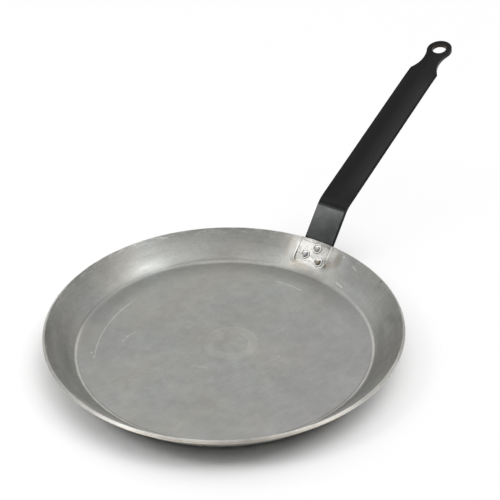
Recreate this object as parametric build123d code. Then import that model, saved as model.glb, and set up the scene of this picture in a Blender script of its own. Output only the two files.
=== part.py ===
"""Crepe pan with a riveted strip handle.

The pan body is one pressing of bare sheet steel: a flat floor, a low flared wall and a plain
trimmed rim. Under the handle the wall is pressed flat, so that the flat foot of the handle
has a seat. The handle is one strip of black coated steel: foot, arm, bend, crowned grip,
waisted neck and a round eye to hang the pan by. Three rivets hold the foot to the seat.

Origin: centre of the underside of the floor. +Z is up and the handle points along +X.
Lengths are in millimetres and angles in degrees.
"""

import os
from math import acos, cos, degrees, radians, sin

from build123d import *

# Pan body: the rim height is that of its outer edge, above the underside of the floor
rim_diameter = 240.0
rim_height = 19.87
sheet_thickness = 2.5
wall_angle = 46.0
floor_corner_radius = 4.0
rim_edge_chamfer = 0.4

# Pressed seat for the handle, a little wider than the strip and just longer than the rivets reach
seat_side_clearance = 1.0
seat_end_clearance = 0.05
seat_depth = 0.6
seat_angle = 50.0
seat_corner_radius = 2.5

# Handle strip
strip_width = 23.5
strip_thickness = 3.0
foot_past_lowest_rivet = 6.35
foot_corner_radius = 4.0
arm_length = 31.0
bend_radius = 16.0
grip_angle = 22.8
grip_length = 150.0

# Crown of the grip: it starts past the bend and is gone again just past the shoulders.
# The grip also dips a little where the crown fades, and runs straight on to the eye.
crown_height = 1.3
crown_start = 6.0
crown_end_past_shoulder = 5.0
crown_blend_length = 22.0
dip_angle = 3.2
crown_station_shares = (0.0, 0.25, 0.5, 0.75, 1.0)
crown_rise_shares = (0.0, 0.156, 0.5, 0.844, 1.0)

# Neck and hanging eye, with their stations measured from the shoulders
eye_diameter = 20.2
eye_hole_diameter = 11.2
eye_centre_past_shoulder = 28.0
neck_arc_radius = 25.3

# Rivets: a triangle with its point towards the rim, set a little askew and off centre
rivet_diameter = 5.0
rivet_hole_clearance = 0.05
rivet_base_spacing = 12.5
rivet_triangle_height = 8.0
rivet_triangle_turn = 12.4
rivet_point_below_rim = 5.5
rivet_point_side_shift = -2.4

# Set end of a rivet, inside the pan: a low dome in a rolled ring with sloping sides
set_ring_diameter = 7.6
set_ring_height = 0.65
set_ring_slope = 0.35
set_dome_diameter = 5.0
set_dome_height = 0.5
set_groove_height = 0.15

# Head of a rivet, on the back of the handle's foot: a flat button with sloping sides
button_diameter = 8.0
button_height = 1.7
button_slope = 1.3

# Room by which a cutting shape passes the material that it cuts
overrun = 10.0


def slope_vectors(angle):
    """Direction up a slope in the XZ plane, and its normal towards the inside of the pan."""
    turn = radians(angle)
    return Vector(cos(turn), 0, sin(turn)), Vector(-sin(turn), 0, cos(turn))


def rivet_places():
    """Centres of the three rivets in the seat plane, by node name."""
    turn = radians(rivet_triangle_turn)
    down = Vector(-cos(turn), sin(turn))
    half_base = Vector(sin(turn), cos(turn)) * (rivet_base_spacing / 2)
    point = Vector(-rivet_point_below_rim, rivet_point_side_shift)
    base_middle = point + down * rivet_triangle_height
    return {
        "rivet_upper": point,
        "rivet_left": base_middle + half_base,
        "rivet_right": base_middle - half_base,
    }


# Corners of the pan's section that follow from the sizes above
wall_up, wall_inward = slope_vectors(wall_angle)
rim_outer_edge = Vector(rim_diameter / 2, 0, rim_height)
rim_inner_edge = rim_outer_edge + wall_inward * sheet_thickness
outer_corner = rim_outer_edge - wall_up * (rim_height / wall_up.Z)
inner_corner = rim_inner_edge - wall_up * ((rim_inner_edge.Z - sheet_thickness) / wall_up.Z)

# Sizes of the seat and of the foot, with their lengths measured down the slope from the rim
lowest_rivet = max(-place.X for place in rivet_places().values())
seat_width = strip_width + 2 * seat_side_clearance
seat_length = lowest_rivet + set_ring_diameter / 2 + seat_end_clearance
foot_length = lowest_rivet + foot_past_lowest_rivet

# Seat plane, with x up the slope from the rim, y to the left and z into the dish
seat_up, seat_normal = slope_vectors(seat_angle)
seat_origin = rim_outer_edge + wall_inward * seat_depth
seat_plane = Plane(origin=seat_origin, x_dir=seat_up, z_dir=seat_normal)

# Stations along the top face of the grip, measured from the corner of the bend
rise_end = crown_start + crown_blend_length
fade_end = grip_length + crown_end_past_shoulder
fade_start = fade_end - crown_blend_length
eye_station = grip_length + eye_centre_past_shoulder
bend_corner = seat_origin + seat_up * arm_length
grip_along, grip_normal = slope_vectors(grip_angle)
dip_radius = crown_blend_length / radians(dip_angle)
dip_centre = bend_corner + grip_along * fade_start - grip_normal * dip_radius


def flat_points(*points):
    """Points of the middle section as pairs for a sketch on the XZ plane."""
    return [(point.X, point.Z) for point in points]


def pan_section():
    """Half section of the pressing, before the seat is pressed into its wall."""
    outside_radius = floor_corner_radius + sheet_thickness
    outside = flat_points(outer_corner, rim_outer_edge)
    inside = flat_points(rim_inner_edge, inner_corner)
    outside_line = FilletPolyline((0, 0), *outside, radius=outside_radius)
    inside_line = FilletPolyline(*inside, (0, sheet_thickness), radius=floor_corner_radius)
    ends = [Line(outside[-1], inside[0]), Line((0, sheet_thickness), (0, 0))]
    section = make_face([outside_line, inside_line, *ends])
    rim_corners = section.vertices().sort_by(Axis.X)[-2:]
    return Plane.XZ * chamfer(rim_corners, rim_edge_chamfer)


def space_below_rim_cut():
    """Ring along the wall, wider than the sheet, that ends in the plane of the trimmed rim."""
    outside = rim_outer_edge - wall_inward * sheet_thickness
    inside = rim_inner_edge + wall_inward * sheet_thickness
    down = wall_up * -(seat_length + overrun)
    corners = flat_points(outside, inside, inside + down, outside + down)
    section = Plane.XZ * make_face(Polyline(*corners, close=True))
    return revolve(section, Axis.Z)


def rivet_holes():
    """Cylinders that bore the seat and the foot alike."""
    reach = sheet_thickness + strip_thickness + overrun
    bore = Cylinder(rivet_diameter / 2 + rivet_hole_clearance, 2 * reach)
    return [seat_plane * Pos(place.X, place.Y) * bore for place in rivet_places().values()]


def make_pan_body():
    """Pressed dish, with a flat patch of the same sheet in place of the wall at the seat."""
    body = revolve(pan_section(), Axis.Z)
    patch_length = seat_length + overrun
    patch_outline = RectangleRounded(patch_length, seat_width, seat_corner_radius)
    patch = seat_plane * Pos(patch_length / 2 - seat_length, 0) * patch_outline
    pressed_zone = extrude(patch, sheet_thickness + overrun, dir=seat_normal)
    pressed_zone += extrude(patch, overrun, dir=-seat_normal)
    flat_patch = extrude(patch, sheet_thickness, dir=seat_normal) & space_below_rim_cut()
    return body - pressed_zone + flat_patch - rivet_holes()


def foot_arm_and_bend():
    """Flat strip from the end of the foot to the start of the crown."""
    foot_end = seat_origin - seat_up * foot_length
    crown_line = bend_corner + grip_along * crown_start
    half_bend = radians((seat_angle - grip_angle) / 2)
    through_bend = (seat_normal + grip_normal).normalized() * (strip_thickness / cos(half_bend))
    top = flat_points(foot_end, bend_corner, crown_line)
    under = flat_points(
        crown_line - grip_normal * strip_thickness,
        bend_corner - through_bend,
        foot_end - seat_normal * strip_thickness,
    )
    top_line = FilletPolyline(*top, radius=bend_radius + strip_thickness)
    under_line = FilletPolyline(*under, radius=bend_radius)
    ends = [Line(top[-1], under[0]), Line(under[-1], top[0])]
    section = Plane.XZ * make_face([top_line, under_line, *ends])
    strip = extrude(section, strip_width / 2, both=True)
    foot_corners = strip.edges().filter_by(Axis(seat_origin, seat_normal))
    return fillet(foot_corners, foot_corner_radius)


def grip_frame(station):
    """Plane across the grip: x is to the left, y out of the top face and z along the grip."""
    into_dip = min(max(station - fade_start, 0), crown_blend_length)
    along, normal = slope_vectors(grip_angle - degrees(into_dip / dip_radius))
    straight_run = station - fade_start - into_dip
    origin = dip_centre + normal * dip_radius + along * straight_run
    return Plane(origin=origin, x_dir=Vector(0, 1, 0), z_dir=along)


def grip_section(station, crown):
    """Section across the grip. Its middle stands proud of its edges by the crown."""
    left, right = Vector(strip_width / 2, 0), Vector(-strip_width / 2, 0)
    down = Vector(0, -strip_thickness)
    rise = Vector(0, crown)
    if crown == 0:
        top = Line(left, right)
        under = Line(right + down, left + down)
    else:
        top = ThreePointArc(left, rise, right)
        under = ThreePointArc(right + down, rise + down, left + down)
    sides = [Line(right, right + down), Line(left + down, left)]
    return grip_frame(station) * make_face([top, under, *sides])


def crown_blend(flat_station, crowned_station):
    """Stretch of the grip over which the crown rises smoothly from flat strip."""
    run = crowned_station - flat_station
    sections = [
        grip_section(flat_station + run * along, crown_height * rise)
        for along, rise in zip(crown_station_shares, crown_rise_shares)
    ]
    return loft(sections)


def arc_about(centre, start, end):
    """Shorter arc from start to end about a centre."""
    middle = (start + end) / 2 - centre
    radius = (start - centre).length
    return ThreePointArc(start, centre + middle.normalized() * radius, end)


def eye_outline():
    """Outline of neck and eye about the eye's centre: two hollow arcs that flow into the round."""
    eye_radius = eye_diameter / 2
    shoulder = Vector(-eye_centre_past_shoulder, strip_width / 2)
    arc_distance = neck_arc_radius + eye_radius
    angle_cosine = neck_arc_radius**2 + shoulder.length**2 - arc_distance**2
    angle_cosine /= 2 * neck_arc_radius * shoulder.length
    to_eye = shoulder.normalized() * -1
    to_arc_centre = to_eye.rotate(Axis.Z, degrees(acos(angle_cosine)))
    arc_centre = shoulder + to_arc_centre * neck_arc_radius
    tangent_point = arc_centre.normalized() * eye_radius
    neck = arc_about(arc_centre, shoulder, tangent_point)
    other_shoulder = Vector(shoulder.X, -shoulder.Y)
    other_tangent_point = Vector(tangent_point.X, -tangent_point.Y)
    eye = ThreePointArc(tangent_point, (eye_radius, 0), other_tangent_point)
    return make_face([Line(other_shoulder, shoulder), neck, eye, mirror(neck, Plane.XZ)])


def make_handle():
    """Foot, arm, bend and crowned grip in one strip, trimmed to the neck and eye and bored."""
    handle = foot_arm_and_bend()
    handle += crown_blend(crown_start, rise_end)
    handle += extrude(grip_section(rise_end, crown_height), fade_start - rise_end, dir=grip_along)
    handle += crown_blend(fade_end, fade_start)
    eye_frame = grip_frame(eye_station)
    end_length = eye_station + eye_diameter - fade_end
    handle += extrude(grip_section(fade_end, 0), end_length, dir=eye_frame.z_dir)

    eye_plane = Plane(origin=eye_frame.origin, x_dir=eye_frame.z_dir, z_dir=eye_frame.y_dir)
    trim_length = eye_centre_past_shoulder + eye_diameter + overrun
    trim = Rectangle(trim_length, strip_width + 2 * overrun, align=(Align.MIN, Align.CENTER))
    trimmed_off = eye_plane * (Pos(-eye_centre_past_shoulder, 0) * trim - eye_outline())
    handle -= extrude(trimmed_off, strip_thickness + overrun, both=True)
    eye_hole = Cylinder(eye_hole_diameter / 2, 2 * (strip_thickness + overrun))
    return handle - eye_plane * eye_hole - rivet_holes()


def make_rivet(place):
    """Rivet turned about its axis: set end in the pan, shank, and button head at the back."""
    shank_radius = rivet_diameter / 2
    dome_radius = set_dome_diameter / 2
    ring_radius = set_ring_diameter / 2
    button_radius = button_diameter / 2
    top = sheet_thickness
    back = -strip_thickness
    groove = (dome_radius, top + set_groove_height)
    ring_top_inside = (dome_radius + set_ring_slope, top + set_ring_height)
    ring_top_outside = (ring_radius - set_ring_slope, top + set_ring_height)
    button_shoulder = (button_radius - button_slope, back - button_height)
    dome_top = (0, top + set_dome_height)
    outline = [
        TangentArc(dome_top, groove, tangent=(1, 0)),
        Polyline(groove, ring_top_inside, ring_top_outside, (ring_radius, top)),
        Polyline((ring_radius, top), (shank_radius, top), (shank_radius, back)),
        Polyline((shank_radius, back), (button_radius, back), button_shoulder),
        Polyline(button_shoulder, (0, button_shoulder[1]), dome_top),
    ]
    rivet = revolve(Plane.XZ * make_face(outline), Axis.Z)
    return seat_plane * Pos(place.X, place.Y) * rivet


def main():
    parts = {"pan_body": make_pan_body(), "handle": make_handle()}
    for name, place in rivet_places().items():
        parts[name] = make_rivet(place)
    os.makedirs("parts", exist_ok=True)
    for name, shape in parts.items():
        shape.label = name
        export_step(shape, os.path.join("parts", f"{name}.step"))


main()
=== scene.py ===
"""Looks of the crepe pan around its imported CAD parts: camera, light, floor and worn steel."""

import math

import bpy
from mathutils import Euler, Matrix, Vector

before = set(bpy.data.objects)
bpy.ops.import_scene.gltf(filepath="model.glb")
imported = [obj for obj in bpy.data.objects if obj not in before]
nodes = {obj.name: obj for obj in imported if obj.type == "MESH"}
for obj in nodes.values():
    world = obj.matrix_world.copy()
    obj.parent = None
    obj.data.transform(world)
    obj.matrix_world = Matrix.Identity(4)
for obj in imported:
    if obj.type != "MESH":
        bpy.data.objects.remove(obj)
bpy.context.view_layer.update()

# Sizes and places in millimetres, as the CAD parts have them
millimetre = 0.001
sheet_thickness = 2.5
wall_angle = math.radians(46)
wall_foot_radius = 99.75
wall_foot_to_rim = Vector((18.45, 0, 19.11))
seat_origin = Vector((119.568, 0, 20.287))
seat_angle = math.radians(50)
seat_length = 18.5
seat_half_width = 12.75
strip_half_width = 11.75
eye_centre = Vector((304.782, 0, 109.831))
eye_axis = Vector((-0.335452, 0, 0.942057))
eye_hole_radius = 5.6

# Depth of the slight hollow drawn into the wall, per square millimetre of the distances from foot and rim
hollow_curve = 0.0045

# Where the domes and the rolled rings of the rivets end, from their middles
dome_radius = 2.3
ring_radius = 3.5

# Rivets: place down the seat from the rim and to the left, colour of the dome, and tint of its painted shade
# away from the light
rivets = {
    "rivet_upper": (5.5, -2.4, (0.56, 0.54, 0.52), 0.70),
    "rivet_left": (11.97, 5.42, (0.60, 0.60, 0.60), 0.40),
    "rivet_right": (14.655, -6.786, (0.40, 0.35, 0.29), 0.40),
}

# Scratches on the floor of the pan: start, end, half width and strength
floor_scratches = (
    ((-60.1, 66.9), (-59.2, 66.4), 0.5, 0.8),
    ((-62.1, 61.9), (-61.6, 62.8), 0.4, 0.8),
    ((-38.0, 57.4), (-36.6, 57.7), 0.5, 0.9),
    ((-34.6, 57.8), (-30.9, 58.4), 0.4, 0.7),
    ((-29.0, 58.0), (-24.7, 57.4), 0.4, 0.5),
    ((-10.9, -33.2), (6.4, -40.0), 0.4, 0.25),
    ((-34.2, 15.8), (-26.2, 9.8), 0.4, 0.2),
    ((-32.8, 2.9), (-29.1, -7.6), 0.8, 0.25),
    ((-27.0, -26.3), (-23.3, -29.1), 0.4, 0.25),
    ((-55.6, 8.4), (-55.2, 7.6), 0.7, 0.6),
    ((6.5, -39.4), (6.7, -39.0), 0.6, 0.8),
)

# Ring that the lathe's centre left on the floor
turning_centre = (1.0, -4.4)
turning_radius = 15

# Arcs left by turning and by a slipped tool: centre, radius, first and last angle, half width, strength
floor_arcs = (
    ((-2.7, -13.1), 95.4, 85, 129, 0.45, 0.8),
    ((0.0, 0.0), 80.9, -8, 9, 0.4, 1.0),
    ((0.0, 0.0), 78.4, -4, 7, 0.3, 0.4),
    (turning_centre, 17.6, -50, 110, 0.5, 0.16),
    (turning_centre, 12.2, -75, 10, 0.6, 0.2),
)

# Marks on the wall: angle round the pan and share of the height, both twice, half width, strength
wall_marks = (
    ((-16.1, 0.17), (-19.7, 0.14), 0.6, 1.0),
    ((-12.8, 0.88), (-13.1, 0.86), 0.7, 0.8),
    ((-18.6, 0.78), (-20.6, 0.73), 0.6, 0.8),
    ((71.5, 0.99), (69.8, 0.94), 0.5, 0.5),
    ((60.3, 0.94), (57.5, 0.88), 0.6, 0.45),
    ((65.0, 0.83), (64.9, 0.79), 0.6, 0.3),
)

# Dark marks on the wall, laid out in the same way
dark_wall_marks = (
    ((-33.6, 0.93), (-33.3, 0.96), 1.0, 1.0),
    ((-34.6, 0.80), (-34.5, 0.81), 0.6, 1.0),
    ((-50.3, 0.60), (-55.0, 0.84), 3.0, 0.4),
)

# Polished and dulled patches about the seat: down from the rim and left, both radii, and tint
seat_patches = (
    ((5.5, 6.5), (8.5, 10.0), 1.90),
    ((14.5, 2.0), (7.0, 8.0), 1.12),
    ((7.0, -9.0), (6.5, 7.5), 1.26),
    ((8.0, 16.5), (13.0, 5.5), 1.38),
    ((22.5, 18.0), (7.0, 10.0), 1.06),
    ((18.5, 5.0), (4.5, 14.0), 0.80),
    ((0.5, 0.0), (3.0, 9.0), 1.20),
    ((22.5, 1.0), (5.5, 13.0), 0.74),
    ((5.0, -17.0), (4.5, 3.5), 1.18),
    ((0.5, -12.0), (2.5, 6.0), 0.88),
    ((15.0, -13.0), (7.0, 9.0), 0.70),
    ((9.5, -22.5), (8.0, 4.5), 0.80),
    ((11.0, 9.5), (4.0, 3.0), 0.85),
    ((23.0, -11.0), (7.5, 13.0), 0.80),
)

# Browned streaks: down from the rim and left, both radii, and strength
brown_patches = (
    ((9.0, 19.5), (11.0, 3.5), 0.8),
    ((19.0, 11.0), (3.0, 4.5), 1.0),
    ((22.0, 7.0), (5.0, 14.0), 0.8),
    ((14.5, -16.0), (4.5, 5.0), 1.0),
    ((9.0, -21.0), (8.0, 5.0), 1.0),
    ((1.0, -20.0), (2.0, 4.0), 0.6),
)

# Dark spots: down from the rim and left, both radii, and strength
dark_spots = (
    ((19.0, 12.0), (2.8, 3.6), 0.42),
    ((16.2, -13.6), (2.8, 2.3), 0.9),
    ((2.0, -1.1), (0.9, 1.6), 0.5),
    ((2.5, -11.1), (1.2, 1.4), 0.6),
    ((2.6, -14.8), (0.9, 0.8), 0.6),
)

# Colours of the pan's steel, the last being the brightest that it may reach
steel_cool = (0.432, 0.440, 0.424, 1)
steel_warm = (0.446, 0.440, 0.414, 1)
steel_right = (0.441, 0.438, 0.433, 1)
steel_worn = (0.45, 0.43, 0.40, 1)
steel_browned = (0.42, 0.37, 0.30, 1)
steel_stained = (0.16, 0.14, 0.11, 1)
steel_brightest = (0.9, 0.9, 0.9)

# Colours of the rivets' rings and of the black coating
ring_steel = (0.56, 0.555, 0.54, 1)
coat_cool = (0.0045, 0.0045, 0.0050, 1)
coat_warm = (0.0070, 0.0070, 0.0068, 1)
# Painted shade on the left half of the grip
coat_grip_painted_shade = (0.0012, 0.0012, 0.0012, 1)
coat_arm = (0.0042, 0.0068, 0.0072, 1)
eye_brown = (0.050, 0.030, 0.020, 1)

# Camera, found from the outlines of the pan in the photograph, in metres
camera_place = Vector((-0.454713, -0.342632, 0.432699))
camera_aim = Vector((0.10797, 0.05428, 0))
camera_roll = math.radians(-0.81)
camera_lens = 75.794
sensor_width = 36

# Degrees from the handle's direction to the photograph's right
photo_turn = -54.8

# Soft light of the room: azimuth, elevation, tightness and strength
room_glows = (
    (0, 72, 12, 4.0),
    (180, 72, 12, 1.1),
    (45, 35, 9, 0.85),
    (90, 35, 9, 0.35),
    (142, 35, 10, 1.25),
    (210, 60, 9, 0.5),
)

# Square lamps: azimuth, elevation, side in metres and radiance, where 1 is the picture's white
lamp_distance = 1.2
lamps = {
    "softbox_left": (194, 44, 0.40, 3.0),
    "softbox_left_middle": (196, 46, 0.16, 10.4),
    "softbox_right": (343, 47, 0.17, 7.8),
}

# Studio floor: its side in metres, and its grey
studio_side = 60
studio_grey = 0.85

# Middle of the shadow, by azimuth and distance from the pan's middle, and the distances from there at
# which the floor starts and ends its fade to plain white
shadow_azimuth = 190
shadow_shift = 35
fade_start = 115
fade_end = 225


def photo_direction(azimuth, elevation):
    """Direction in degrees, with azimuth 0 to the photograph's right and 90 away from the camera."""
    turn, rise = math.radians(azimuth + photo_turn), math.radians(elevation)
    return Vector((math.cos(turn) * math.cos(rise), math.sin(turn) * math.cos(rise), math.sin(rise)))


def wall_place(angle, share):
    """Point on the inside of the wall, at a share of the way from its foot to the rim."""
    turn = math.radians(angle)
    radius = wall_foot_radius + share * wall_foot_to_rim.x
    height = sheet_thickness + share * wall_foot_to_rim.z
    return Vector((radius * math.cos(turn), radius * math.sin(turn), height))


class NodeTree:
    """Short calls that add nodes to a tree. An input is a number, a colour or a socket."""

    def __init__(self, tree):
        self.tree = tree
        self.tree.nodes.clear()

    def add(self, kind, inputs=(), **settings):
        node = self.tree.nodes.new(kind)
        for key, value in settings.items():
            setattr(node, key, value)
        for key, value in dict(inputs).items():
            if isinstance(value, bpy.types.NodeSocket):
                self.tree.links.new(value, node.inputs[key])
            else:
                node.inputs[key].default_value = value
        return node

    def math(self, operation, first, second=0.0, third=0.0):
        inputs = {0: first, 1: second, 2: third}
        return self.add("ShaderNodeMath", inputs, operation=operation).outputs[0]

    def plus(self, first, second):
        return self.math("ADD", first, second)

    def minus(self, first, second):
        return self.math("SUBTRACT", first, second)

    def times(self, first, second):
        return self.math("MULTIPLY", first, second)

    def vector(self, operation, first, second=(0, 0, 0)):
        return self.add("ShaderNodeVectorMath", {0: first, 1: second}, operation=operation).outputs[0]

    def measure(self, operation, first, second=(0, 0, 0)):
        inputs = {0: first, 1: second}
        return self.add("ShaderNodeVectorMath", inputs, operation=operation).outputs["Value"]

    def join(self, x=0.0, y=0.0, z=0.0):
        return self.add("ShaderNodeCombineXYZ", {"X": x, "Y": y, "Z": z}).outputs[0]

    def noise(self, where, scale=1.0, detail=2.0, roughness=0.5):
        inputs = {"Vector": where, "Scale": scale, "Detail": detail, "Roughness": roughness}
        return self.add("ShaderNodeTexNoise", inputs).outputs["Fac"]

    def span(self, value, low, high, to_low=0.0, to_high=1.0):
        """Maps low..high of a value smoothly to to_low..to_high, held beyond both ends."""
        inputs = {"Value": value, "From Min": low, "From Max": high, "To Min": to_low, "To Max": to_high}
        return self.add("ShaderNodeMapRange", inputs, interpolation_type="SMOOTHSTEP").outputs["Result"]

    def band(self, value, centre, half_width, softness):
        """1 within half_width of the centre, fading to 0 over the softness."""
        distance = self.math("ABSOLUTE", self.minus(value, centre))
        return self.span(distance, half_width, half_width + softness, 1.0, 0.0)

    def wave(self, noise, amount):
        """A noise turned into a factor about 1."""
        return self.math("MULTIPLY_ADD", self.minus(noise, 0.5), amount, 1.0)

    def tinted(self, value, mask, factor):
        """The value, multiplied by the factor where the mask is 1."""
        return self.times(value, self.math("MULTIPLY_ADD", mask, factor - 1.0, 1.0))

    def product(self, *values):
        result = values[0]
        for value in values[1:]:
            result = self.times(result, value)
        return result

    def most(self, values):
        result = values[0]
        for value in values[1:]:
            result = self.math("MAXIMUM", result, value)
        return result

    def mix(self, share, first, second):
        node = self.add("ShaderNodeMix", data_type="RGBA")
        sockets = {"Factor_Float": share, "A_Color": first, "B_Color": second}
        for socket in node.inputs:
            value = sockets.get(socket.identifier)
            if isinstance(value, bpy.types.NodeSocket):
                self.tree.links.new(value, socket)
            elif value is not None:
                socket.default_value = value
        return next(out for out in node.outputs if out.identifier == "Result_Color")


class Shader(NodeTree):
    """Node tree of one material, with places on the object in millimetres and masks made from them."""

    def __init__(self, name):
        self.material = bpy.data.materials.new(name)
        self.material.use_nodes = True
        super().__init__(self.material.node_tree)
        metres = self.add("ShaderNodeTexCoord").outputs["Object"]
        self.place = self.vector("DIVIDE", metres, (millimetre,) * 3)
        parts = self.add("ShaderNodeSeparateXYZ", {0: self.place}).outputs
        self.x, self.y, self.z = parts[0], parts[1], parts[2]

    def stroke(self, start, end, half_width):
        """Mask of a straight stroke between two points."""
        start, end = Vector(start).to_3d(), Vector(end).to_3d()
        along = (end - start).normalized()
        offset = self.vector("SUBTRACT", self.place, start)
        reach = self.math("MINIMUM", self.measure("DOT_PRODUCT", offset, along), (end - start).length)
        reach = self.math("MAXIMUM", reach, 0.0)
        foot = self.vector("MULTIPLY", self.join(reach, reach, reach), along)
        distance = self.measure("DISTANCE", offset, foot)
        return self.span(distance, half_width * 0.3, half_width * 1.6, 1.0, 0.0)

    def arc(self, centre, radius, first, last, half_width):
        """Mask of an arc on the floor of the pan, fading towards its ends."""
        offset = self.vector("SUBTRACT", self.join(self.x, self.y), (*centre, 0))
        off_line = self.minus(self.measure("LENGTH", offset), radius)
        parts = self.add("ShaderNodeSeparateXYZ", {0: offset}).outputs
        middle = math.radians((first + last) / 2)
        half_span = math.radians((last - first) / 2)
        ahead = self.times(parts[0], math.cos(middle))
        ahead = self.math("MULTIPLY_ADD", parts[1], math.sin(middle), ahead)
        aside = self.times(parts[1], math.cos(middle))
        aside = self.math("MULTIPLY_ADD", parts[0], -math.sin(middle), aside)
        angle = self.math("ARCTAN2", aside, ahead)
        line = self.band(off_line, 0, half_width * 0.3, half_width * 1.3)
        return self.times(line, self.band(angle, 0, half_span * 0.75, half_span * 0.3))

    def seat_places(self):
        """Places down the seat from the rim and out from its outer face."""
        offset = self.vector("SUBTRACT", self.place, seat_origin)
        down = (-math.cos(seat_angle), 0, -math.sin(seat_angle))
        out = (-math.sin(seat_angle), 0, math.cos(seat_angle))
        return self.measure("DOT_PRODUCT", offset, down), self.measure("DOT_PRODUCT", offset, out)

    def blob(self, down, centre, radii):
        """Soft oval mask in places down the seat and to its left."""
        first = self.times(self.minus(down, centre[0]), 1 / radii[0])
        second = self.times(self.minus(self.y, centre[1]), 1 / radii[1])
        return self.span(self.measure("LENGTH", self.join(first, second)), 0.35, 1.0, 1.0, 0.0)

    def finish(self, surface):
        output = self.tree.nodes.new("ShaderNodeOutputMaterial")
        self.tree.links.new(surface, output.inputs["Surface"])
        return self.material


def grey(value):
    return (value, value, value, 1.0)


def make_camera():
    """Camera at the photograph's viewing angle."""
    data = bpy.data.cameras.new("camera")
    data.lens = camera_lens
    data.sensor_width = sensor_width
    camera = bpy.data.objects.new("camera", data)
    bpy.context.scene.collection.objects.link(camera)
    camera.location = camera_place
    turn = (camera_aim - camera_place).to_track_quat("-Z", "Y")
    camera.rotation_mode = "QUATERNION"
    camera.rotation_quaternion = turn @ Euler((0, 0, camera_roll)).to_quaternion()
    bpy.context.scene.camera = camera


def make_lamp(name, azimuth, elevation, side, radiance):
    """Square lamp that shines at the middle of the pan and that the camera doesn't see."""
    data = bpy.data.lights.new(name, "AREA")
    data.size = side
    data.energy = radiance * math.pi * side ** 2
    lamp = bpy.data.objects.new(name, data)
    bpy.context.scene.collection.objects.link(lamp)
    lamp.location = photo_direction(azimuth, elevation) * lamp_distance
    lamp.rotation_mode = "QUATERNION"
    lamp.rotation_quaternion = (-lamp.location).to_track_quat("-Z", "Y")
    lamp.visible_camera = False


def make_room():
    """World light: each glow is strongest in its own direction and fades away from it."""
    world = bpy.data.worlds.new("room")
    bpy.context.scene.world = world
    world.use_nodes = True
    room = NodeTree(world.node_tree)
    ray = room.add("ShaderNodeTexCoord").outputs["Generated"]
    light = 0.0
    for azimuth, elevation, tightness, strength in room_glows:
        cosine = room.measure("DOT_PRODUCT", ray, photo_direction(azimuth, elevation))
        falloff = room.math("EXPONENT", room.times(room.minus(cosine, 1.0), tightness))
        light = room.math("MULTIPLY_ADD", falloff, strength, light)
    glow = room.add("ShaderNodeBackground", {"Strength": light})
    room.add("ShaderNodeOutputWorld", {"Surface": glow.outputs[0]})


def make_floor():
    """White floor that keeps the pan's shadow and fades to plain white further away."""
    shader = Shader("studio_floor")
    rays = shader.add("ShaderNodeLightPath").outputs
    seen = shader.most([rays["Is Camera Ray"], rays["Is Glossy Ray"], rays["Is Transmission Ray"]])
    colour = shader.mix(seen, grey(studio_grey), grey(1.0))
    lit = shader.add("ShaderNodeBsdfDiffuse", {"Color": colour})
    white = shader.add("ShaderNodeEmission", {"Color": grey(1.0), "Strength": 1.0})
    shadow_middle = photo_direction(shadow_azimuth, 0) * shadow_shift
    from_shadow = shader.measure("DISTANCE", shader.place, shadow_middle)
    far = shader.span(from_shadow, fade_start, fade_end, 0.0, 0.9)
    surface = shader.add("ShaderNodeMixShader", {
        0: shader.times(far, seen),
        1: lit.outputs[0],
        2: white.outputs[0],
    })
    bpy.ops.mesh.primitive_plane_add(size=studio_side)
    floor = bpy.context.object
    floor.name = "studio_floor"
    floor.data.materials.append(shader.finish(surface.outputs[0]))


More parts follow.
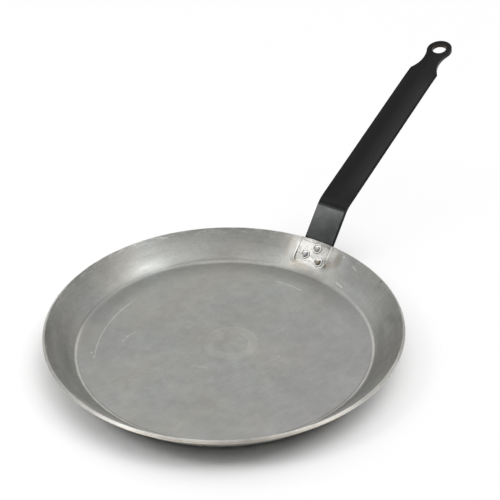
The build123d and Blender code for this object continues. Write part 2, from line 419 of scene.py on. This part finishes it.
class PanSteel(Shader):
    """Bare carbon steel: turned and polished inside, worn bright at the edges and on the seat, with painted
    highlights and shade at the corner, rim and seat.
    """

    def __init__(self):
        super().__init__("pan_steel")
        self.flat_place = self.join(self.x, self.y)
        self.radius = self.measure("LENGTH", self.flat_place)
        self.outwards = self.vector("NORMALIZE", self.flat_place)
        past_foot = self.math("MAXIMUM", self.minus(self.radius, wall_foot_radius), 0.0)
        # Height over the underside of the sheet, on the floor and on the wall
        self.level = self.minus(self.z, self.times(past_foot, math.tan(wall_angle)))
        # Distance up the slope of the wall, from its foot
        past_foot = self.math("MINIMUM", past_foot, wall_foot_to_rim.x)
        self.up_wall = self.times(past_foot, 1 / math.cos(wall_angle))
        self.on_wall = self.span(self.radius, wall_foot_radius - 1.0, wall_foot_radius + 1.5)
        self.down, out = self.seat_places()
        across = self.math("ABSOLUTE", self.y)
        handle_side = self.span(self.x, 90.0, 95.0)
        seat_face = self.product(
            handle_side,
            self.span(out, sheet_thickness - 0.6, sheet_thickness - 0.2),
            self.span(across, seat_half_width + 0.75, seat_half_width + 1.25, 1.0, 0.0),
        )
        upper_face = self.span(self.level, sheet_thickness - 0.9, sheet_thickness - 0.3)
        self.inside = self.math("MAXIMUM", upper_face, seat_face)
        self.near_seat = self.times(self.inside, handle_side)
        self.on_seat = self.product(
            seat_face,
            self.span(across, seat_half_width - 0.1, seat_half_width + 0.5, 1.0, 0.0),
            self.span(self.down, seat_length, seat_length + 0.7, 1.0, 0.0),
        )
        self.fine_marks = self.noise(self.turned(9.0, 1.1), detail=3.0, roughness=0.6)
        self.wide_marks = self.noise(self.turned(3.0, 0.22), detail=3.0)
        self.clouds = self.noise(self.place, 0.022, 4.0, 0.55)
        self.mottle = self.noise(self.place, 0.16, 3.0, 0.55)
        self.grain = self.noise(self.place, 0.7, 2.0)
        # Bright line where the floor turns up: partly wear, partly a painted highlight that is strongest at
        # the front
        self.worn_and_highlight_line = self.product(
            self.band(self.radius, wall_foot_radius + 0.1, 0.35, 0.8),
            self.inside,
            self.span(self.facing(272), -0.6, 0.3),
            self.span(self.clouds, 0.3, 0.5, 0.85, 1.0),
        )
        self.cut_edge = self.product(
            self.span(self.radius, 116.0, 117.0),
            self.span(self.level, -1.05, -0.8),
            self.span(self.level, sheet_thickness - 0.2, sheet_thickness - 0.02, 1.0, 0.0),
        )
        self.outer_edge = self.product(
            self.cut_edge,
            self.span(self.level, 0.2, 1.0, 1.0, 0.0),
            self.span(self.facing(275), 0.75, 0.95),
        )

    def turned(self, round_scale, cross_scale):
        """Places for marks that run round the pan, by how fast they change round it and across."""
        track = self.times(self.plus(self.radius, self.z), cross_scale)
        stretched = self.vector("MULTIPLY", self.outwards, (round_scale,) * 3)
        return self.vector("ADD", stretched, self.join(z=track))

    def facing(self, azimuth):
        """1 on the side of the pan at an azimuth of the photograph, and -1 on the opposite side."""
        return self.measure("DOT_PRODUCT", self.outwards, photo_direction(azimuth, 0))

    def by_part(self, on_floor, on_wall):
        """A number that differs between the floor of the pan and its wall."""
        return self.span(self.on_wall, 0, 1, on_floor, on_wall)

    def plain_tone(self):
        """Marks of turning and polishing, stronger on the wall than on the floor."""
        streaks = self.noise(self.vector("MULTIPLY", self.place, (0.045, 0.55, 0.5)), detail=3.0)
        across_slant = self.plus(self.times(self.x, 0.25), self.times(self.y, 0.43))
        along_slant = self.plus(self.times(self.y, -0.02), self.times(self.x, 0.035))
        slant_streaks = self.noise(self.join(across_slant, along_slant), detail=3.0)
        nearer = self.measure("DOT_PRODUCT", self.flat_place, photo_direction(300, 0))
        return self.product(
            self.wave(self.fine_marks, self.by_part(0.07, 0.24)),
            self.wave(self.wide_marks, self.by_part(0.06, 0.22)),
            self.wave(self.clouds, 0.30),
            self.wave(self.mottle, self.by_part(0.15, 0.25)),
            self.wave(streaks, 0.10),
            self.wave(slant_streaks, 0.11),
            self.wave(self.grain, self.by_part(0.12, 0.24)),
            self.by_part(1.05, 1.0),
            # Slightly darker towards the front of the pan
            self.span(nearer, 10, 95, 1.01, 0.94),
        )

    def wall_strokes(self, table):
        """Masks of straight marks on the wall."""
        return [
            self.times(self.stroke(wall_place(*start), wall_place(*end), width), strength)
            for start, end, width, strength in table
        ]

    def with_scratches(self, tone):
        """Scratches, and the ring that the lathe's centre left on the floor."""
        scratches = [
            self.times(self.stroke((*start, sheet_thickness), (*end, sheet_thickness), width), strength)
            for start, end, width, strength in floor_scratches
        ]
        scratches += [
            self.times(self.arc(centre, arc_radius, first, last, width), strength)
            for centre, arc_radius, first, last, width, strength in floor_arcs
        ]
        scratches += self.wall_strokes(wall_marks)
        from_turning = self.measure("DISTANCE", self.flat_place, (*turning_centre, 0))
        turning_ring = self.product(
            self.band(from_turning, turning_radius, 2.2, 2.5),
            self.span(self.clouds, 0.3, 0.6, 0.5, 1.0),
            self.inside,
        )
        tone = self.tinted(tone, turning_ring, 1.07)
        return self.tinted(tone, self.times(self.most(scratches), self.inside), 1.45)

    def with_corner(self, tone):
        """Bright line where the floor turns up, partly wear and partly painted highlight, with painted shade
        on both sides of it at the back.
        """
        # The painted highlight on this line is weaker at the left
        weaker_left = self.span(self.facing(175), 0.5, 0.95, 1.0, 0.86)
        tone = self.tinted(tone, self.times(self.worn_and_highlight_line, weaker_left), 1.85)
        # Painted shade along the corner at the back, dimming the light that the fillet catches there
        back = self.span(self.facing(122), 0.58, 0.72)
        painted_shade_line = self.product(self.band(self.radius, wall_foot_radius + 0.15, 0.9, 1.0), self.inside, back)
        tone = self.tinted(tone, painted_shade_line, 0.77)
        # Painted shade low on the wall at the back, beside the highlight
        low = self.span(self.up_wall, 3.0, 16.0, 1.0, 0.0)
        painted_shade_foot = self.product(self.on_wall, self.inside, low, self.span(self.facing(101), 0.945, 0.99))
        tone = self.tinted(tone, painted_shade_foot, 0.76)
        # Painted shade on the floor's edge at the back, where the floor mirrors the darker wall
        near_corner = self.times(self.span(self.radius, 80.0, 95.0), self.minus(1.0, self.on_wall))
        painted_shade_edge = self.product(near_corner, self.inside, self.span(self.facing(95), -0.2, 0.85))
        return self.tinted(tone, painted_shade_edge, 0.76)

    def with_rim(self, tone):
        """Cut edge of the sheet, worn bright, with painted highlights beside the front and painted shade in
        its middle, and the worn inner edge of the rim.
        """
        tone = self.tinted(tone, self.cut_edge, 1.3)
        # Painted highlights on the cut edge, to the left and the right of the front
        painted_highlight_front_left = self.span(self.facing(257), 0.93, 0.99)
        tone = self.tinted(tone, self.times(self.cut_edge, painted_highlight_front_left), 1.55)
        painted_highlight_front_right = self.span(self.facing(312), 0.8, 0.97)
        tone = self.tinted(tone, self.times(self.cut_edge, painted_highlight_front_right), 1.4)
        # Painted shade on the outer half of the cut edge, in the middle of the front
        painted_shade_front = self.times(self.outer_edge, self.span(self.facing(275), 0.90, 0.97))
        tone = self.tinted(tone, painted_shade_front, 0.84)
        specks = self.span(self.noise(self.turned(16.0, 0.55), detail=3.0, roughness=0.6), 0.46, 0.64)
        worn_side = self.span(self.facing(125), 0.2, 0.95, 0.3, 1.0)
        edge_wear = self.product(self.span(self.up_wall, 19.5, 25.5), self.inside, specks, worn_side)
        return self.tinted(tone, edge_wear, 1.35)

    def with_seat(self, tone):
        """Seat of the handle and the wall about it: beaten, polished in patches, with painted shade lines and
        painted light at its edges.
        """
        tone = self.tinted(tone, self.on_seat, 0.86)
        for centre, radii, tint in seat_patches:
            tone = self.tinted(tone, self.times(self.blob(self.down, centre, radii), self.near_seat), tint)
        beaten = self.times(self.span(self.noise(self.place, 0.75, 4.0, 0.65), 0.45, 0.62), self.on_seat)
        tone = self.tinted(tone, beaten, 0.74)
        # Painted shade in thin lines along the seat's top and sides
        upper_left = self.span(self.down, 7.0, 10.0, 1.0, 0.0)
        painted_shade_lines = self.most([
            self.times(self.band(self.down, 2.3, 0.2, 0.5), 0.8),
            self.times(self.band(self.y, seat_half_width - 0.45, 0.1, 0.4), upper_left),
            self.times(self.band(self.y, 0.65 - seat_half_width, 0.15, 0.5), 0.7),
        ])
        tone = self.tinted(tone, self.times(painted_shade_lines, self.on_seat), 0.75)
        # Painted highlight along the seat's right edge
        painted_highlight_right_line = self.product(
            self.near_seat,
            self.band(self.y, -0.45 - seat_half_width, 0.2, 0.5),
            self.span(self.down, 12.0, 17.0, 1.0, 0.0),
        )
        tone = self.tinted(tone, painted_highlight_right_line, 1.35)
        # Painted light on the shaded step at the seat's left side
        painted_light_left_step = self.product(
            self.near_seat,
            self.band(self.y, seat_half_width + 0.25, 0.5, 0.3),
            self.band(self.down, 12.0, 5.0, 3.0),
        )
        tone = self.tinted(tone, painted_light_left_step, 1.45)
        dark_marks = self.most(self.wall_strokes(dark_wall_marks))
        return self.tinted(tone, self.times(dark_marks, self.inside), 0.72)

    def patches(self, table):
        """Mask of the strongest of some patches near the seat."""
        blobs = [
            self.times(self.blob(self.down, centre, radii), strength)
            for centre, radii, strength in table
        ]
        return self.times(self.most(blobs), self.near_seat)

    def colour(self, tone):
        """Colour of the steel at a tone: warmer and cooler clouds, worn, browned and stained in places."""
        warmth = self.noise(self.vector("ADD", self.place, (300, 0, 0)), 0.028, 3.0)
        plain = self.mix(self.span(warmth, 0.35, 0.65), steel_cool, steel_warm)
        to_right = self.measure("DOT_PRODUCT", self.flat_place, photo_direction(340, 0))
        cool_floor = self.times(self.span(to_right, 20, 75, 0.0, 0.8), self.minus(1.0, self.on_wall))
        cooled = self.mix(cool_floor, plain, steel_right)
        worn = self.times(self.most([self.worn_and_highlight_line, self.cut_edge]), 0.6)
        warm_line = self.mix(worn, cooled, steel_worn)
        smears = self.times(self.patches(brown_patches), self.span(self.fine_marks, 0.35, 0.60, 0.25, 1.0))
        brown = self.times(self.most([smears, self.outer_edge]), 0.6)
        browned = self.mix(brown, warm_line, steel_browned)
        spotted = self.mix(self.times(self.patches(dark_spots), 0.8), browned, steel_stained)
        colour = self.vector("MULTIPLY", spotted, self.join(tone, tone, tone))
        return self.vector("MINIMUM", colour, steel_brightest)

    def normal(self):
        """Fine marks over a wall that is drawn slightly hollow."""
        from_rim = self.minus(self.up_wall, wall_foot_to_rim.length)
        hollow = self.product(self.up_wall, from_rim, self.inside, hollow_curve)
        hollow_bump = self.add("ShaderNodeBump", {"Height": hollow, "Strength": 1.0, "Distance": millimetre})
        height = self.math("MULTIPLY_ADD", self.fine_marks, 0.7, self.times(self.grain, 0.3))
        return self.add("ShaderNodeBump", {
            "Height": height,
            "Strength": 0.3,
            "Distance": 0.03 * millimetre,
            "Normal": hollow_bump.outputs[0],
        }).outputs[0]

    def build(self):
        tone = self.with_scratches(self.plain_tone())
        tone = self.with_seat(self.with_rim(self.with_corner(tone)))
        roughness = self.plus(0.46, self.times(self.minus(self.mottle, 0.5), 0.16))
        wall_streaks = self.times(self.minus(self.wide_marks, 0.5), self.on_wall)
        roughness = self.math("MULTIPLY_ADD", wall_streaks, 0.3, roughness)
        low_wall = self.product(
            self.inside,
            self.span(self.up_wall, 1.5, 6.0),
            self.span(self.up_wall, 6.0, 16.0, 1.0, 0.0),
        )
        roughness = self.tinted(roughness, low_wall, 0.76)
        roughness = self.tinted(roughness, self.on_seat, 0.85)
        roughness = self.tinted(roughness, self.cut_edge, 0.95)
        plain_wall = self.times(self.on_wall, self.minus(1.0, self.on_seat))
        surface = self.add("ShaderNodeBsdfPrincipled", {
            "Base Color": self.colour(tone),
            "Metallic": 1.0,
            "Roughness": roughness,
            "Anisotropic": self.span(plain_wall, 0, 1, 0.1, 0.6),
            "Anisotropic Rotation": 0.25,
            "Tangent": self.add("ShaderNodeTangent", direction_type="RADIAL", axis="Z").outputs[0],
            "Normal": self.normal(),
        })
        return self.finish(surface.outputs[0])


def handle_coating():
    """Black baked coating: glossiest high on the arm, dull at the rim and the sides, brown in the eye;
    painted shade on the grip's left.
    """
    shader = Shader("handle_coating")
    down, _ = shader.seat_places()
    up_arm = shader.times(down, -1.0)
    on_arm = shader.span(up_arm, 30.0, 38.0, 1.0, 0.0)
    peel = shader.noise(shader.place, 0.9, 2.0)
    handling = shader.noise(shader.place, 0.035, 3.0)
    smudges = shader.noise(shader.place, 0.11, 3.0, 0.6)
    across = shader.math("ABSOLUTE", shader.y)
    at_side = shader.span(across, strip_half_width - 0.5, strip_half_width - 0.1)
    at_rim = shader.span(up_arm, 0.3, 1.3, 1.0, 0.0)
    eye_offset = shader.vector("SUBTRACT", shader.place, eye_centre)
    along_axis = shader.measure("DOT_PRODUCT", eye_offset, eye_axis)
    lift = shader.vector("MULTIPLY", shader.join(along_axis, along_axis, along_axis), eye_axis)
    from_axis = shader.measure("DISTANCE", eye_offset, lift)
    in_eye = shader.span(from_axis, eye_hole_radius + 0.1, eye_hole_radius + 0.5, 1.0, 0.0)
    coat = shader.mix(handling, coat_cool, coat_warm)
    # Painted shade on the left half of the grip
    grip_left = shader.times(shader.span(shader.y, -4.0, 3.0), shader.minus(1.0, on_arm))
    coat = shader.mix(grip_left, coat, coat_grip_painted_shade)
    below_bend = shader.span(up_arm, 24.0, 31.0, 1.0, 0.0)
    coat = shader.mix(below_bend, coat, coat_arm)
    coat = shader.mix(shader.times(in_eye, 0.8), coat, eye_brown)
    gloss = shader.times(shader.span(shader.math("MULTIPLY_ADD", shader.y, 0.5, up_arm), 0.0, 33.0), on_arm)
    roughness = shader.math("MULTIPLY_ADD", gloss, -0.15, 0.28)
    roughness = shader.math("MULTIPLY_ADD", shader.minus(smudges, 0.5), 0.16, roughness)
    dull = shader.math("MAXIMUM", at_side, at_rim)
    roughness = shader.math("MULTIPLY_ADD", dull, 0.5, roughness)
    bump = shader.add("ShaderNodeBump", {
        "Height": peel,
        "Strength": 0.25,
        "Distance": 0.03 * millimetre,
    })
    surface = shader.add("ShaderNodeBsdfPrincipled", {
        "Base Color": coat,
        "Roughness": roughness,
        "Specular IOR Level": 0.19,
        "Normal": bump.outputs[0],
    })
    return shader.finish(surface.outputs[0])


def rivet_steel(name):
    """Steel of one rivet: a dull dome in a rolled ring, with a painted highlight towards the rim and painted
    shade away from the light.
    """
    centre_down, centre_left, dome_colour, painted_shade_tint = rivets[name]
    shader = Shader(name)
    down, out = shader.seat_places()
    from_down = shader.minus(down, centre_down)
    from_left = shader.minus(shader.y, centre_left)
    from_centre = shader.measure("LENGTH", shader.join(from_down, from_left))
    to_light_side = shader.join(shader.times(from_down, 0.8), shader.minus(from_left, 1.2))
    from_light_side = shader.measure("LENGTH", to_light_side)
    set_end = shader.span(out, sheet_thickness - 0.4, sheet_thickness - 0.1)
    grain = shader.noise(shader.place, 1.3, 3.0)
    # Painted highlight on the top of the dome and ring, towards the rim
    towards_rim = shader.minus(shader.times(from_left, 0.35), from_down)
    away_from_lit_top = shader.span(towards_rim, 0.9, 1.5, 1.0, 0.0)
    dome = shader.product(
        shader.span(from_centre, dome_radius - 0.2, dome_radius + 0.2, 1.0, 0.0),
        set_end,
        away_from_lit_top,
    )
    # Painted shade on the side of the dome away from the light
    painted_shade_side = shader.times(shader.span(from_light_side, 1.1, 2.9), dome)
    # Painted shade in the groove round the dome, away from the light
    groove_shade = shader.product(
        shader.band(from_centre, dome_radius + 0.3, 0.1, 0.2),
        set_end,
        shader.span(from_light_side, 1.6, 3.2),
    )
    # Painted highlight on the top of the dome and ring, towards the rim
    worn = shader.product(
        shader.span(from_centre, ring_radius - 0.6, ring_radius - 0.2, 1.0, 0.0),
        set_end,
        shader.minus(1.0, away_from_lit_top),
    )
    outline = shader.times(shader.span(from_centre, ring_radius, ring_radius + 0.25), set_end)
    tone = shader.wave(grain, 0.5)
    tone = shader.tinted(tone, groove_shade, 0.5)
    tone = shader.tinted(tone, worn, 1.5)
    tone = shader.tinted(tone, outline, 0.8)
    tone = shader.tinted(tone, painted_shade_side, painted_shade_tint)
    metal = shader.mix(dome, ring_steel, (*dome_colour, 1))
    colour = shader.vector("MULTIPLY", metal, shader.join(tone, tone, tone))
    bump = shader.add("ShaderNodeBump", {
        "Height": grain,
        "Strength": 0.3,
        "Distance": 0.05 * millimetre,
    })
    surface = shader.add("ShaderNodeBsdfPrincipled", {
        "Base Color": colour,
        "Metallic": 1.0,
        "Roughness": shader.span(dome, 0, 1, 0.42, 0.58),
        "Normal": bump.outputs[0],
    })
    return shader.finish(surface.outputs[0])


def dress(node, material, edge_width):
    """Gives a CAD node its material and softly rounded edges, their width in millimetres."""
    piece = nodes[node]
    for slot in piece.material_slots:
        slot.material = material
    bevel = piece.modifiers.new("edges", "BEVEL")
    bevel.width = edge_width * millimetre
    bevel.segments = 3
    bevel.limit_method = "ANGLE"
    bevel.angle_limit = math.radians(35)


make_camera()
make_room()
for lamp_name, values in lamps.items():
    make_lamp(lamp_name, *values)
make_floor()
dress("pan_body", PanSteel().build(), 0.1)
dress("handle", handle_coating(), 0.4)
for rivet in rivets:
    dress(rivet, rivet_steel(rivet), 0.1)

bpy.context.scene.view_settings.view_transform = "Standard"
